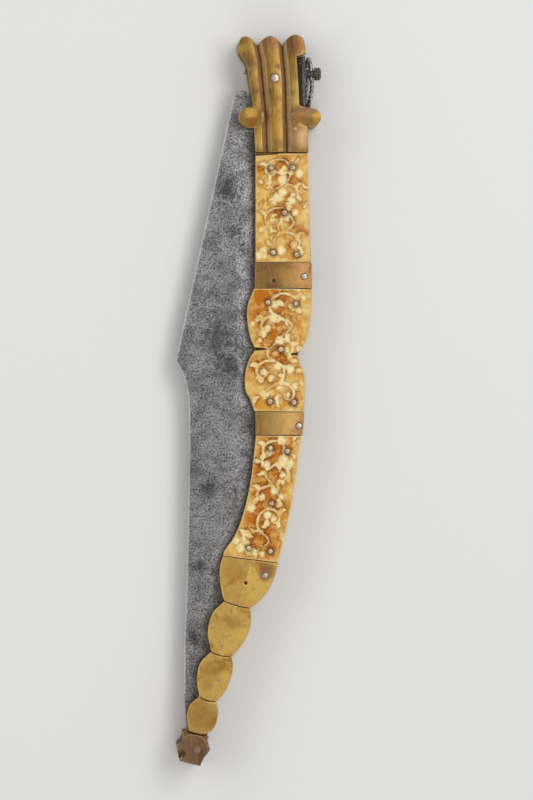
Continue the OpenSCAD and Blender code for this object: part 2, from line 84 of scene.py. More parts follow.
# %% [markdown]
# The picture looks almost straight down on the knife, from a little to its left. A short lens
# close by would show more of the near pieces' sides, so a long lens far away is used, which
# keeps the perspective as flat as a product photograph's. The frame is upright, so the lens
# works on its long side.

# %% Camera
def new_object(name, data):
    """An object that shows this data, linked into the scene."""
    made = bpy.data.objects.new(name, data)
    bpy.context.scene.collection.objects.link(made)
    return made


aim = np.array([0.00875, 0.0, 0.018])
tilt, distance = math.radians(3.5), 1.43
away = np.array([-math.sin(tilt), 0.0, math.cos(tilt)])
stand = aim + distance * away
right_hand = np.cross([0.0, 1.0, 0.0], away)
right_hand /= np.linalg.norm(right_hand)
upward = np.cross(away, right_hand)
camera = new_object("camera", bpy.data.cameras.new("camera"))
turned = np.eye(4)
turned[:3, 0], turned[:3, 1], turned[:3, 2], turned[:3, 3] = right_hand, upward, away, stand
camera.matrix_world = Matrix(turned.tolist())
camera.data.lens = 128.7
camera.data.sensor_width = 36
camera.data.clip_end = 20
bpy.context.scene.camera = camera
bpy.context.scene.view_settings.view_transform = "Standard"
print("camera at", [round(v, 3) for v in stand])

# %% [markdown]
# Metal shows what is round it. A big soft lamp at the upper right gives the long highlights,
# weaker ones on the left and at the foot keep the other flanks from going black, and the dim
# world fills the rest. Small hard lamps would give sharp spots of light, which the picture
# doesn't have. The floor is plain and pale, and lies just under the knife.

# %% Lamps, world and floor
def lamp(name, at, aim_at, size, watts):
    """A soft lamp at one point, its face turned so that its axis runs to another point."""
    data = bpy.data.lights.new(name, "AREA")
    data.shape = "RECTANGLE"
    data.size, data.size_y = size
    data.energy = watts
    made = new_object(name, data)
    back_axis = np.array(at, float) - np.array(aim_at, float)
    back_axis /= np.linalg.norm(back_axis)
    side = np.cross([0.0, 1.0, 0.01], back_axis)
    side /= np.linalg.norm(side)
    turn = np.eye(4)
    turn[:3, 0], turn[:3, 1], turn[:3, 2], turn[:3, 3] = side, np.cross(back_axis, side), back_axis, at
    made.matrix_world = Matrix(turn.tolist())


middle_of_knife = (0, 0, 0)
lamp("key_lamp", (0.53, 0.4, 0.93), middle_of_knife, (0.5, 1.0), 4.6)
lamp("left_lamp", (-0.75, 0.2, 0.6), middle_of_knife, (0.35, 0.9), 1.9)
lamp("foot_lamp", (0.1, -0.9, 0.7), middle_of_knife, (0.7, 0.4), 1.5)

world = bpy.data.worlds.new("studio")
bpy.context.scene.world = world
world.use_nodes = True
world.node_tree.nodes["Background"].inputs["Color"].default_value = (0.97, 0.98, 1.0, 1)
world.node_tree.nodes["Background"].inputs["Strength"].default_value = 0.46

floor_reach, floor_gap = 3, 0.0002
floor_corners = [(x * floor_reach, y * floor_reach, 0) for x, y in ((-1, -1), (1, -1), (1, 1), (-1, 1))]
floor_mesh = bpy.data.meshes.new("floor")
floor_mesh.from_pydata(floor_corners, [], [(0, 1, 2, 3)])
floor = new_object("floor", floor_mesh)
floor.location.z = cad_box[0][2] - floor_gap
print("lamps and floor made")

# %% [markdown]
# Every finish below is a small net of shader nodes. Such a net could be drawn by hand in the
# shader editor. Here it is written, so that one change reaches every finish: these helpers
# add one node each and give back its output, and a net can be read like a sum.

# %% Helpers for node nets
def colour(code):
    """Screen colour to scene colour, per channel: ((c + 0.055) / 1.055) ** 2.4, or c / 12.92 if dark."""
    parts = np.array([int(code[i:i + 2], 16) for i in (1, 3, 5)]) / 255
    lit = np.where(parts > 0.04045, ((parts + 0.055) / 1.055) ** 2.4, parts / 12.92)
    return (*[float(v) for v in lit], 1.0)


def put(net, socket, value):
    """Joins a socket to another, or sets its own value."""
    if isinstance(value, bpy.types.NodeSocket):
        net.links.new(value, socket)
    elif value is not None:
        socket.default_value = value


def add(net, kind, settings=None, **inputs):
    """Adds one node, sets its settings, and fills its named inputs."""
    made = net.nodes.new(kind)
    for name, value in (settings or {}).items():
        setattr(made, name, value)
    for name, value in inputs.items():
        put(net, made.inputs[name.replace("_", " ")], value)
    return made


def calc(net, how, a, b=None, clamp=False):
    """One sum of two numbers: a how b."""
    made = net.nodes.new("ShaderNodeMath")
    made.operation = how
    made.use_clamp = clamp
    put(net, made.inputs[0], a)
    put(net, made.inputs[1], b)
    return made.outputs[0]


def times(net, a, b, clamp=False):
    """a times b."""
    return calc(net, "MULTIPLY", a, b, clamp)


def without(net, mask, share):
    """What is left where a mask takes a share away: 1 - mask share."""
    return calc(net, "SUBTRACT", 1.0, times(net, mask, share))


def vector(net, how, a, b=None):
    """One sum of two vectors, a how b, with all its outputs."""
    made = add(net, "ShaderNodeVectorMath", {"operation": how})
    put(net, made.inputs[0], a)
    put(net, made.inputs[1], b)
    return made.outputs


def fade(net, value, low, high, start=0.0, end=1.0):
    """A soft step: start below low, end above high, and an S curve between."""
    made = add(net, "ShaderNodeMapRange", {"interpolation_type": "SMOOTHSTEP"})
    for socket, number in zip(made.inputs[:5], (value, low, high, start, end)):
        put(net, socket, number)
    return made.outputs[0]


def blend_colour(net, amount, a, b):
    """Colour a where the amount is 0, colour b where it is 1."""
    made = add(net, "ShaderNodeMix", {"data_type": "RGBA"})
    put(net, made.inputs[0], amount)
    put(net, made.inputs[6], a)
    put(net, made.inputs[7], b)
    return made.outputs[2]


def layer(net, under, mask, strength, code):
    """A colour laid over what is under it: the mask says where, the strength (0 to 1) how thickly."""
    return blend_colour(net, mask if strength == 1 else times(net, mask, strength), under, colour(code))


def weighed(net, *masks):
    """Weighed sum of masks, each given with its weight: m1 w1 + m2 w2 + ..."""
    total, *rest = [times(net, mask, weight) for mask, weight in masks]
    for part in rest:
        total = calc(net, "ADD", total, part)
    return total


def new_group(name, **inputs):
    """A shared net with named inputs, each with its usual value, and one mask as its output."""
    net = bpy.data.node_groups.new(name, "ShaderNodeTree")
    for label, usual in inputs.items():
        made = net.interface.new_socket(label, in_out="INPUT", socket_type="NodeSocketFloat")
        made.default_value = usual
    net.interface.new_socket("Mask", in_out="OUTPUT", socket_type="NodeSocketFloat")
    return net, net.nodes.new("NodeGroupInput").outputs, net.nodes.new("NodeGroupOutput").inputs["Mask"]


def place(net, name, **inputs):
    """Puts a shared net into a material, with this material's own values, and gives back its mask."""
    made = net.nodes.new("ShaderNodeGroup")
    made.node_tree = bpy.data.node_groups[name]
    for label, value in inputs.items():
        put(net, made.inputs[label], value)
    return made.outputs["Mask"]


def millimetres(net, seed=None):
    """The surface's own place in millimetres, moved by a seed so that no two nets match."""
    here = add(net, "ShaderNodeTexCoord").outputs["Object"]
    scaled = vector(net, "MULTIPLY", here, (1000, 1000, 1000))[0]
    return vector(net, "ADD", scaled, seed)[0]


print("node helpers ready")

# %% [markdown]
# Old metal is never one colour. Three effects make up most of its age, and each is built once
# as a group, so that each finish can set its own size and strength. The first is blotches:
# tarnish that comes in soft clouds. A picture of real tarnish would repeat and blur close
# up, so a noise is worked out at each point, and cut between two levels by a soft step.

# %% Shared effect: blotches
net, given, mask_out = new_group("blotches", Size=8.0, Low=0.45, High=0.6, Rough=0.6, Seed=0.0)
where = millimetres(net, given["Seed"])
cloud = add(net, "ShaderNodeTexNoise", None, Vector=where, Scale=calc(net, "DIVIDE", 1.0, given["Size"]),
            Detail=6.0, Roughness=given["Rough"], Distortion=0.4)
put(net, mask_out, fade(net, cloud.outputs[0], given["Low"], given["High"]))
print("group", net.name)

# %% [markdown]
# Handling and filing leave fine lines that mostly run one way. The same noise is drawn out
# long in one direction and squeezed in the other, so that its clouds turn into streaks.

# %% Shared effect: scratches
net, given, mask_out = new_group("scratches", Turn=0.0, Low=0.62, High=0.68, Seed=0.0)
where = millimetres(net, given["Seed"])
angle = add(net, "ShaderNodeCombineXYZ", None, Z=given["Turn"]).outputs[0]
laid = add(net, "ShaderNodeMapping", None, Vector=where, Rotation=angle)
laid.inputs["Scale"].default_value = (3.4, 0.09, 1.2)
streak = add(net, "ShaderNodeTexNoise", None, Vector=laid.outputs[0], Scale=1.0, Detail=3.0, Roughness=0.55)
put(net, mask_out, fade(net, streak.outputs[0], given["Low"], given["High"]))
print("group", net.name)

# %% [markdown]
# Rust eats small round holes. A cell pattern gives each cell one middle, and the distance
# from it makes a hole. A wide noise decides where holes come often, since pits come in crowds.

# %% Shared effect: pits
net, given, mask_out = new_group("pits", Size=0.8, Wide=0.3, Rare=0.5, Seed=0.0)
where = millimetres(net, given["Seed"])
cells = add(net, "ShaderNodeTexVoronoi", None, Vector=where, Scale=calc(net, "DIVIDE", 1.0, given["Size"]),
            Randomness=1.0)
spread = add(net, "ShaderNodeTexNoise", None, Vector=where, Scale=0.35, Detail=3.0)
hole = fade(net, cells.outputs["Distance"], 0.0, given["Wide"], 1.0, 0.0)
often = fade(net, spread.outputs[0], given["Rare"], calc(net, "ADD", given["Rare"], 0.12))
put(net, mask_out, times(net, hole, often))
print("group", net.name)

# %% [markdown]
# A material keeps its own shader. Its base colour, roughness and bump come from the groups.
# The model's edges are sharp, and real ones are worn round and bright. Rounding them in the
# mesh would cost many faces, so a bevel node rounds only the light over them. Where its
# rounded normal leaves the face's own normal, the colour is painted brighter: partly rubbed
# wear, partly a painted highlight along the edge.

# %% Start of a material
def start_material(name, metal, rough, rounding):
    """A material with a shader, a surface output, and a rounded normal of the given radius in mm."""
    made = bpy.data.materials.new(name)
    made.use_nodes = True
    tree = made.node_tree
    shader = tree.nodes["Principled BSDF"]
    shader.inputs["Metallic"].default_value = metal
    shader.inputs["Roughness"].default_value = rough
    soft_edge = None
    if rounding:
        soft_edge = add(tree, "ShaderNodeBevel", {"samples": 4}, Radius=rounding / 1000).outputs[0]
    return made, tree, shader, soft_edge


def bump(tree, shader, height, depth, soft_edge):
    """Turns a height of 0 to 1 into relief of the given depth in mm."""
    made = add(tree, "ShaderNodeBump", None, Height=height, Strength=1.0, Distance=depth / 1000)
    if soft_edge is not None:
        put(tree, made.inputs["Normal"], soft_edge)
    put(tree, shader.inputs["Normal"], made.outputs[0])


def edge_wear_and_highlight(tree, soft_edge):
    """1 beside an edge, 0 away from it: there the rounded normal leaves the face's own normal.
    This mask paints the edges bright, partly as wear and partly as a painted highlight.
    """
    own = add(tree, "ShaderNodeNewGeometry").outputs["True Normal"]
    return fade(tree, vector(tree, "DOT_PRODUCT", own, soft_edge)["Value"], 0.84, 0.98, 1.0, 0.0)


floor_paint, tree, shader, _ = start_material("floor_paint", 0.0, 0.85, 0)
shader.inputs["Base Color"].default_value = colour("#f0efec")
floor_mesh.materials.append(floor_paint)
print("floor painted")

# %% [markdown]
# Dirt gathers in the grooves of the head and round the rivets, some tarnish has its own place,
# and a few painted highlights and patches of painted shade have theirs. These places could be
# painted by hand. Measuring how far each point is from a line or a point of the drawing gives
# the same with a few numbers, and it stays sharp close up.

# %% Distance from lines and points of the drawing
def drawn(point):
    """A point of the drawing, in millimetres of the scene, on the floor plan."""
    return np.array([*(1000 * pivot[:2] + np.array(point, float)), 0.0])


def on_plan(net, where, point):
    """The step in plan from one point of the drawing to here: (p - point) with no height."""
    step = vector(net, "SUBTRACT", where, tuple(drawn(point)))[0]
    return vector(net, "MULTIPLY", step, (1.0, 1.0, 0.0))[0]


def from_point(net, where, point):
    """Distance in plan from one point of the drawing: |p - point|."""
    return vector(net, "LENGTH", on_plan(net, where, point))["Value"]


def beside(net, where, start, stop):
    """Distance in plan from a line between two points: |s - t d|, where s is the step from the
    start, d the whole line, and t = s . d / d . d held between 0 and 1."""
    step = on_plan(net, where, start)
    whole = drawn(stop) - drawn(start)
    dot = vector(net, "DOT_PRODUCT", step, tuple(whole / (whole @ whole)))["Value"]
    along = vector(net, "MULTIPLY", tuple(whole), calc(net, "ADD", dot, 0.0, True))[0]
    return vector(net, "LENGTH", vector(net, "SUBTRACT", step, along)[0])["Value"]


def least(net, values):
    """The least of several numbers."""
    found = values[0]
    for value in values[1:]:
        found = calc(net, "MINIMUM", found, value)
    return found


def by_lines(net, where, lines):
    """Distance in plan from the nearest of several lines, each given by its two ends."""
    return least(net, [beside(net, where, *ends) for ends in lines])


print("lines can be drawn")

# %% [markdown]
# The brass of the bands, tail and ribs was cast, filed and then handled for years. Big warm
# clouds of brown lie over the ochre, small pinkish spots show copper, and the filed grooves
# hold dirt, with a painted highlight on their flanks. Rubbing leaves fine pale lines, and the
# edges are painted bright, partly as wear and partly as a painted highlight. One flat colour
# would look like plastic, so the colours are laid over each other, as tarnish is, and the
# larger patches stand where the picture has them; on the finial two of them are painted shade.

# %% Brass finishes
def brass(name, clean, brown, pink, browner, rough, rounding, grooves=(), rivets=(), patches=(), brushed=0.22,
          shine=0.5):
    """Brass with tarnish clouds, copper spots, dirt in its grooves with a painted highlight on
    their flanks, dirt round its rivets (x, y, radius), patches of a given colour (x, y, radius,
    colour, strength), edges painted bright as wear and painted highlight, and handling scratches."""
    made, tree, shader, soft_edge = start_material(name, 1.0, rough, rounding)
    where = millimetres(tree)
    clouds = place(tree, "blotches", Size=13.0, Low=browner, High=browner + 0.2, Seed=11.0)
    spots = place(tree, "blotches", Size=3.4, Low=0.52, High=0.64, Seed=37.0)
    freckle = place(tree, "blotches", Size=0.9, Low=0.5, High=0.72, Rough=0.75, Seed=5.0)
    hatch = place(tree, "scratches", Turn=1.1, Low=0.5, High=0.66, Seed=61.0)
    lines = place(tree, "scratches", Turn=0.5, Low=0.63, High=0.69, Seed=3.0)
    cross_lines = place(tree, "scratches", Turn=-0.9, Low=0.65, High=0.7, Seed=19.0)
    pitted = place(tree, "pits", Size=1.1, Wide=0.22, Rare=0.5, Seed=23.0)
    rubbed = calc(tree, "MAXIMUM", lines, cross_lines)
    tone = blend_colour(tree, clouds, colour(clean), colour(brown))
    tone = layer(tree, tone, spots, 0.55, pink)
    tone = layer(tree, tone, freckle, 0.4, brown)
    tone = layer(tree, tone, hatch, brushed, "#dcb565")
    for x, y, reach, code, strength in patches:
        far = calc(tree, "ADD", from_point(tree, where, (x, y)), times(tree, freckle, 0.35 * reach))
        tone = layer(tree, tone, fade(tree, far, 0.3 * reach, 1.2 * reach, strength, 0.0), 1, code)
    # Painted highlight and wear: beside an edge the colour is lightened and the metal lowered, so the edge looks lit
    # as well as rubbed.
    rim = edge_wear_and_highlight(tree, soft_edge)
    tone = layer(tree, tone, rim, shine, "#ecd29a")
    put(tree, shader.inputs["Metallic"], without(tree, rim, 0.4))
    dirt = times(tree, pitted, 0.7)
    if grooves:
        near = by_lines(tree, where, grooves)
        # Painted highlight: the flanks of each groove are lightened as if they caught the light; the groove's bottom
        # holds dirt.
        flank_highlight = times(tree, fade(tree, near, 0.4, 0.9), fade(tree, near, 1.6, 2.5, 1.0, 0.0))
        tone = layer(tree, tone, flank_highlight, 0.55, "#c9ab88")
        dirt = calc(tree, "MAXIMUM", dirt, fade(tree, near, 0.1, 0.5, 0.85, 0.0))
    if rivets:
        near = least(tree, [calc(tree, "SUBTRACT", from_point(tree, where, (x, y)), radius)
                            for x, y, radius in rivets])
        dirt = calc(tree, "MAXIMUM", dirt, fade(tree, near, 0.1, 0.55, 0.9, 0.0))
        stained = fade(tree, calc(tree, "ADD", near, times(tree, freckle, 1.2)), 0.2, 2.4, 0.4, 0.0)
        tone = layer(tree, tone, stained, 1, pink)
    tone = layer(tree, tone, dirt, 1, "#241910")
    tone = layer(tree, tone, rubbed, 0.35, "#e2c684")
    put(tree, shader.inputs["Base Color"], tone)
    dull = weighed(tree, (clouds, 0.12), (spots, 0.1), (dirt, 0.3))
    put(tree, shader.inputs["Roughness"], calc(tree, "ADD", dull, rough))
    relief = weighed(tree, (freckle, 0.25), (pitted, -1.0), (rubbed, -0.3), (hatch, -0.2))
    bump(tree, shader, relief, 0.06, soft_edge)
    return made


def centre(node):
    """The middle of a pin in the drawing, and its radius."""
    low, high = (1000 * (np.array(corner) - pivot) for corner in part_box(node))
    return (*((low + high) / 2)[:2], (high - low)[0] / 2)


left_groove = [(-8.8, 17), (-7.2, 9.3), (-4.7, -16.5), (-3.9, -36.9)]
right_groove = [(3.6, 17), (5.2, -1), (6.2, -36.9)]
head_grooves = [*zip(left_groove, left_groove[1:]), *zip(right_groove, right_groove[1:])]
head_patches = [
    (-2.7, 17.5, 6, "#96684a", 0.75), (10, 17, 7, "#7a5238", 0.85), (-15.7, 19, 4, "#93703a", 0.7),
    (-16.6, 14.6, 2.6, "#d2ae44", 0.6), (1.4, 6.2, 1.7, "#6a473c", 0.85), (-6.5, 8, 5, "#a27a48", 0.5),
    (11.4, -4, 4.5, "#cdb060", 0.65), (10.8, -11, 4.5, "#cdb060", 0.7), (13.2, -29.7, 6.5, "#c9a27c", 0.6),
    (-8.3, -31.5, 5, "#d6ae62", 0.6), (-12, -17.6, 4, "#dcb04e", 0.7), (-11.6, -22.6, 3.6, "#a3602c", 0.7),
    (12.6, -16.4, 4.6, "#8a6048", 0.75), (17, -17.5, 5, "#94745a", 0.55),
    (12.6, -19.4, 3, "#b5763c", 0.6), (21.5, -19.6, 3.4, "#e0a84a", 0.7),
    (-1, -25, 8, "#c29440", 0.5)]
head_brass = brass("head_brass", "#a07c3e", "#785a2e", "#886048", 0.47, 0.36, 0.8, head_grooves,
                   [centre("pivot_pin")], head_patches, shine=0.7)
band_brass = brass("band_brass", "#9f7a46", "#765232", "#a5745c", 0.44, 0.38, 0.6,
                   rivets=[centre("spring_rivet"), (12.05, -173.9, 1.4)],
                   patches=[(2, -173, 15, "#d4a862", 0.65), (12, -94, 5, "#a5705a", 0.45),
                            (-7, -94, 4, "#8d6048", 0.5), (10, -177, 4, "#a06c50", 0.5), (3, -99, 6, "#b98c48", 0.5)])
plain_brass = brass("plain_brass", "#9a7840", "#6e5030", "#85624f", 0.42, 0.4, 0.3)
tail_patches = [
    (-4, -247, 4.6, "#8c6450", 0.75), (-36, -319, 11, "#a97a40", 0.6), (-20, -247, 7, "#cf8f3c", 0.5),
    (-34, -303, 4, "#b07e44", 0.4), (-12.5, -262, 5, "#ecc468", 0.5), (-20, -272, 5, "#a57834", 0.4),
    (-34, -296, 5, "#a8742e", 0.35), (-16, -279, 5, "#ecc468", 0.5), (-25, -300, 4, "#ecc468", 0.45)]
tail_brass = brass("tail_brass", "#e9bf66", "#a8782f", "#b57f4c", 0.46, 0.36, 0.9,
                   rivets=[(-5, -248.7, 1.4)], patches=tail_patches, brushed=0.45, shine=0.8)
# Painted shade: two near-black patches in the finial's nicks stand for the shadow inside them.
finial_nick_shade = [(-47.8, -331.2, 2, "#1f1812", 0.9), (-46.6, -337.2, 2.2, "#1f1812", 0.9)]
finial_brass = brass("finial_brass", "#927052", "#70503c", "#84604c", 0.45, 0.42, 0.8,
                     patches=finial_nick_shade, brushed=0.0, shine=0.8)
pin_brass = brass("pin_brass", "#54362a", "#3a2420", "#5c3c38", 0.4, 0.45, 0.15)
print("brass finishes made")

# %% [markdown]
# The blade is forged steel that rusted a little and was rubbed clean. Its grey is full of
# fine pale and dark specks, with darker patches where rust sat longest, a faint grain from
# polishing along its length, and a painted highlight along its back. The specks are finer than
# the faces of any mesh, so they are noise in the finish, in two sizes so that no row of them
# shows. The same net, with other colours, makes the spring, the pins and the wire.

# %% Steel finishes
def steel(name, light, dark, rust, rough, rounding, pit_depth=0.05, grain_turn=0.0, knurl=0.0, shine=0.4,
          back_highlight_line=(), rust_at=()):
    """Steel with polishing grain, fine salt-and-pepper specks, rust clouds, dark rust patches
    (x, y, radius), pits, edges painted bright as wear and painted highlight, and a narrow painted
    highlight beside a line of the drawing. A knurl is two crossed rows of ridges:
    sin(2 pi (x + y) / p) sin(2 pi (x - y) / p)."""
    made, tree, shader, soft_edge = start_material(name, 1.0, rough, rounding)
    where = millimetres(tree)
    clouds = place(tree, "blotches", Size=10.0, Low=0.4, High=0.64, Seed=51.0)
    rusty = place(tree, "blotches", Size=5.0, Low=0.54, High=0.68, Seed=71.0)
    specks = place(tree, "blotches", Size=0.9, Low=0.42, High=0.6, Rough=0.7, Seed=13.0)
    pale = place(tree, "blotches", Size=0.8, Low=0.46, High=0.64, Rough=0.75, Seed=91.0)
    pitted = place(tree, "pits", Size=1.5, Wide=0.34, Rare=0.46, Seed=29.0)
    grain = place(tree, "scratches", Turn=grain_turn, Low=0.42, High=0.72, Seed=43.0)
    smudge = place(tree, "blotches", Size=16.0, Low=0.42, High=0.6, Rough=0.7, Seed=7.0)
    tone = blend_colour(tree, times(tree, clouds, 0.5), colour(light), colour(dark))
    tone = layer(tree, tone, specks, 0.85, dark)
    tone = layer(tree, tone, rusty, 0.55, rust)
    pale = times(tree, pale, without(tree, smudge, 0.55))
    tone = layer(tree, tone, pale, 0.95, light)
    if rust_at:
        torn = place(tree, "blotches", Size=2.6, Low=0.44, High=0.62, Rough=0.75, Seed=17.0)
        torn = weighed(tree, (torn, 1.0), (pale, -0.4))
        for x, y, reach in rust_at:
            far = calc(tree, "SUBTRACT", from_point(tree, where, (x, y)), times(tree, torn, 0.9 * reach))
            tone = layer(tree, tone, fade(tree, far, 0.0, 1.1 * reach, 0.7, 0.0), 1, dark)
    tone = layer(tree, tone, pitted, 0.85, "#1f1b19")
    if soft_edge is not None:
        # Painted highlight and wear on the edges, as for the brass: a pale colour and less metal beside each edge.
        rim = times(tree, edge_wear_and_highlight(tree, soft_edge), shine)
        # Painted highlight: a narrow pale band beside the blade's back line, where its bevel would catch the light.
        if back_highlight_line:
            near = by_lines(tree, where, zip(back_highlight_line, back_highlight_line[1:]))
            rim = calc(tree, "MAXIMUM", rim, fade(tree, near, 0.35, 0.9, 0.65, 0.0))
        tone = layer(tree, tone, rim, 1, "#e2dfdc")
        put(tree, shader.inputs["Metallic"], without(tree, rim, 0.4))
    if knurl:
        split = add(tree, "ShaderNodeSeparateXYZ", None, Vector=where).outputs
        waves = [calc(tree, "SINE", times(tree, calc(tree, how, split[0], split[1]), 2 * math.pi / knurl))
                 for how in ("ADD", "SUBTRACT")]
        ridge = fade(tree, times(tree, *waves), -0.3, 0.5)
        tone = blend_colour(tree, ridge, colour("#352c26"), tone)
    put(tree, shader.inputs["Base Color"], tone)
    dull = weighed(tree, (clouds, 0.1), (specks, 0.12), (pitted, 0.3))
    put(tree, shader.inputs["Roughness"], calc(tree, "ADD", dull, rough))
    heights = [(specks, 0.25), (pitted, -1.0), (grain, 0.25)]
    if knurl:
        heights.append((ridge, 3.0))
    bump(tree, shader, weighed(tree, *heights), pit_depth, soft_edge)
    return made


blade_back = [(-20.15, -7.2), (-49.55, -141.3), (-48.2, -143.5), (-45.3, -149.5), (-43.9, -154.7), (-43.2, -160),
              (-42.8, -169), (-42.8, -181), (-43.5, -231), (-44.4, -259.5), (-45.3, -287.5), (-45.2, -308)]
blade_steel = steel("blade_steel", "#b0aeae", "#3c3a3a", "#3f3b38", 0.44, 0.8, 0.08, shine=0.8, back_highlight_line=blade_back,
                    rust_at=[(-21.1, -76.2, 3.6), (-23.3, -55.6, 6), (-28, -131, 9), (-22.5, -143, 6), (-37, -244, 4),
                             (-40.5, -279.6, 3), (-32.3, -206, 5)])
spring_steel = steel("spring_steel", "#5c595a", "#2c2a2a", "#302b28", 0.28, 0.4, 0.04, 0.1)
stud_steel = steel("stud_steel", "#b0a096", "#6a5c54", "#5e4c40", 0.32, 0.2, 0.04, 0.1, 1.6)
ring_steel = steel("ring_steel", "#bfb8aa", "#645d53", "#4c4238", 0.24, 0.0, 0.03, 0.1)
pin_steel = steel("pin_steel", "#ecd8b2", "#b59a70", "#8a6844", 0.5, 0.3, 0.02, shine=0.7)
finial_pin = steel("finial_pin", "#a8927e", "#80695a", "#80604c", 0.45, 0.3, 0.02, shine=0.2)
pale_steel = steel("pale_steel", "#f2e9dc", "#b7a78f", "#a08468", 0.26, 0.4, 0.02)
copper_pin = steel("copper_pin", "#d9b3a0", "#b08a6c", "#a07058", 0.32, 0.2, 0.02)
print("steel finishes made")

# %% [markdown]
# The bone is the knife's ornament: pale cattle bone, scrolled with cream lines, and stained
# amber round them. A picture of the pattern would blur close up, and modelled lines would
# cost millions of faces. So the pattern is worked out on the surface's own points: each
# point keeps its distance from the nearest scroll line, pin and edge, and the shader turns
# those distances into crisp lines and soft stains. First come the panels' edges, which are
# smooth lines through a few points of the drawing.

# %% Smooth edges
def smooth_line(points, steps=12):
    """A smooth line through points: between b and c, with a before and d after them,
    p(t) = (2b + (c - a)t + (2a - 5b + 4c - d)t^2 + (3b - a - 3c + d)t^3) / 2."""
    p = np.asarray(points, float)
    p = np.vstack([p[:1], p, p[-1:]])
    t = np.linspace(0, 1, steps, endpoint=False)[None, :, None]
    a, b, c, d = (p[k:len(p) - 3 + k, None] for k in range(4))
    line = (2 * b + (c - a) * t + (2 * a - 5 * b + 4 * c - d) * t ** 2 + (3 * b - a - 3 * c + d) * t ** 3) / 2
    return np.vstack([line.reshape(-1, 2), p[-1:]])


def walk(line, share):
    """Points at given shares, 0 to 1, of the way along a line."""
    steps = np.linalg.norm(np.diff(line, axis=0), axis=1)
    way = np.concatenate([[0], np.cumsum(steps)]) / steps.sum()
    return np.stack([np.interp(share, way, line[:, k]) for k in (0, 1)], axis=-1)


print("edges ready")

# %% [markdown]
# Each panel is a slab of bone, filed to a low round back, with edges that the hand has worn
# soft, and the middle panel is pinched at its waist by short wedge-shaped cuts. A box with a
# bevel would give the edges but not the back, so the whole top is one grid of heights.

# %% A bone panel as a cushion-edged grid
bone_base, bone_crown, bone_radius = 4.1, 8.1, 45.0
edge_steps = np.array([0.0, 0.08, 0.2, 0.38, 0.6, 0.85])
panel_inset, edge_drop, waist_deep, waist_soft = 0.2, 0.8, 3.0, 0.5
row_pitch, fewest_rows = 0.33, 4


def shares(length):
    """Shares across a length: close rows over each rounded edge, even rows between."""
    soft = edge_steps[-1]
    rows = max(int((length - 2 * soft) / row_pitch), fewest_rows)
    inner = np.linspace(soft, length - soft, rows + 1)
    return np.concatenate([edge_steps[:-1], inner, length - edge_steps[-2::-1]]) / length


def wedge_gap(points, wedges):
    """Distance past the side of the nearest wedge (tip, foot, half width at the foot):
    |off the middle| - half width * share, where share runs from 0 at the tip to 1 at the foot."""
    gaps = []
    for tip, foot, half_wide in wedges:
        whole = np.array(foot, float) - tip
        long = np.linalg.norm(whole)
        along = whole / long
        step = points - np.array(tip, float)
        share = (step @ along) / long
        off = np.abs(step @ np.array([along[1], -along[0]]))
        gaps.append(np.where(share > 0, off - half_wide * share, np.linalg.norm(step, axis=-1)))
    return np.minimum.reduce(gaps)


def panel_points(left, right, crown_line, waist=None):
    """A grid between two edges. Height: crown - r + sqrt(r^2 - off^2), less the rounded edge
    e - sqrt(e^2 - (e - d)^2), where off is the distance from the crown line and d from the edge."""
    left, right = smooth_line(left), smooth_line(right)
    if len(left) == len(right):
        long = np.linalg.norm(np.diff((left + right) / 2, axis=0), axis=1).sum()
    else:
        long = abs(left[-1, 1] - left[0, 1])
    down = shares(long)
    west, east = walk(left, down) + (panel_inset, 0), walk(right, down) - (panel_inset, 0)
    wide = np.linalg.norm(east - west, axis=1)
    across = shares(wide.mean())
    grid = west[:, None] + (east - west)[:, None] * across[None, :, None]
    side = np.minimum(across, 1 - across)[None, :] * wide[:, None]
    end = np.minimum(down, 1 - down)[:, None] * long * np.ones_like(side)
    start, stop = np.array(crown_line, float)
    along = (stop - start) / np.linalg.norm(stop - start)
    off = (grid - start) @ np.array([along[1], -along[0]])
    top = bone_crown - bone_radius + np.sqrt(bone_radius ** 2 - off ** 2)
    if waist is not None:
        top = top - waist_deep * np.clip((0.3 - wedge_gap(grid, waist)) / waist_soft, 0, 1)
    e = edge_steps[-1]
    for near in (side, 0.5 * end + 0.5 * e):
        slack = np.clip(e - near, 0, e)
        top = top - (e - np.sqrt(e ** 2 - slack ** 2)) * edge_drop
    return grid, top, np.minimum(side, end)


def closed_shell(grid, top, base):
    """Joins the grid's top to a wall round its border and a flat face underneath."""
    rows, columns = top.shape
    index = np.arange(rows * columns).reshape(rows, columns)
    a, b, c, d = index[:-1, :-1], index[:-1, 1:], index[1:, 1:], index[1:, :-1]
    quads = np.stack([a, d, c, b], axis=-1).reshape(-1, 4)
    rim = np.concatenate([index[0, :-1], index[:-1, -1], index[-1, :0:-1], index[:0:-1, 0]])
    foot = rows * columns + np.arange(len(rim))
    walls = np.stack([rim, np.roll(rim, -1), np.roll(foot, -1), foot], axis=-1)
    flat = np.concatenate([grid.reshape(-1, 2), top.reshape(-1, 1)], axis=1)
    low = np.column_stack([flat[rim, :2], np.full(len(rim), base)])
    return np.vstack([flat, low]), quads.tolist() + walls.tolist() + [foot[::-1].tolist()], rim


print("panel shape ready")

# %% [markdown]
# The scrollwork is the oldest ornament there is: a stem that waves down the middle of the
# panel, and in each of its bays a tendril that leaves the stem and winds up into a spiral
# with a berry at its heart. A sine gives the stem, and a spiral whose radius shrinks evenly
# gives each tendril. Every line is a row of dots with a half width of its own. The lines
# could be traced from the picture, but they are one maker's drawing, so these are new ones.

# %% Scroll lines from formulas
stroke_points, stem_points, curl_points = 46, 420, 260


def comma(root, heading, long, bend, bold):
    """A comma stroke: a line that turns evenly by bend, half width bold * sin(pi t ^ 0.7)."""
    t = np.linspace(0, 1, stroke_points)
    turn = heading + bend * t
    steps = np.column_stack([np.cos(turn), np.sin(turn)]) * long / (stroke_points - 1)
    return np.column_stack([root + np.cumsum(steps, axis=0), 0.06 + bold * np.sin(np.pi * t ** 0.7)])


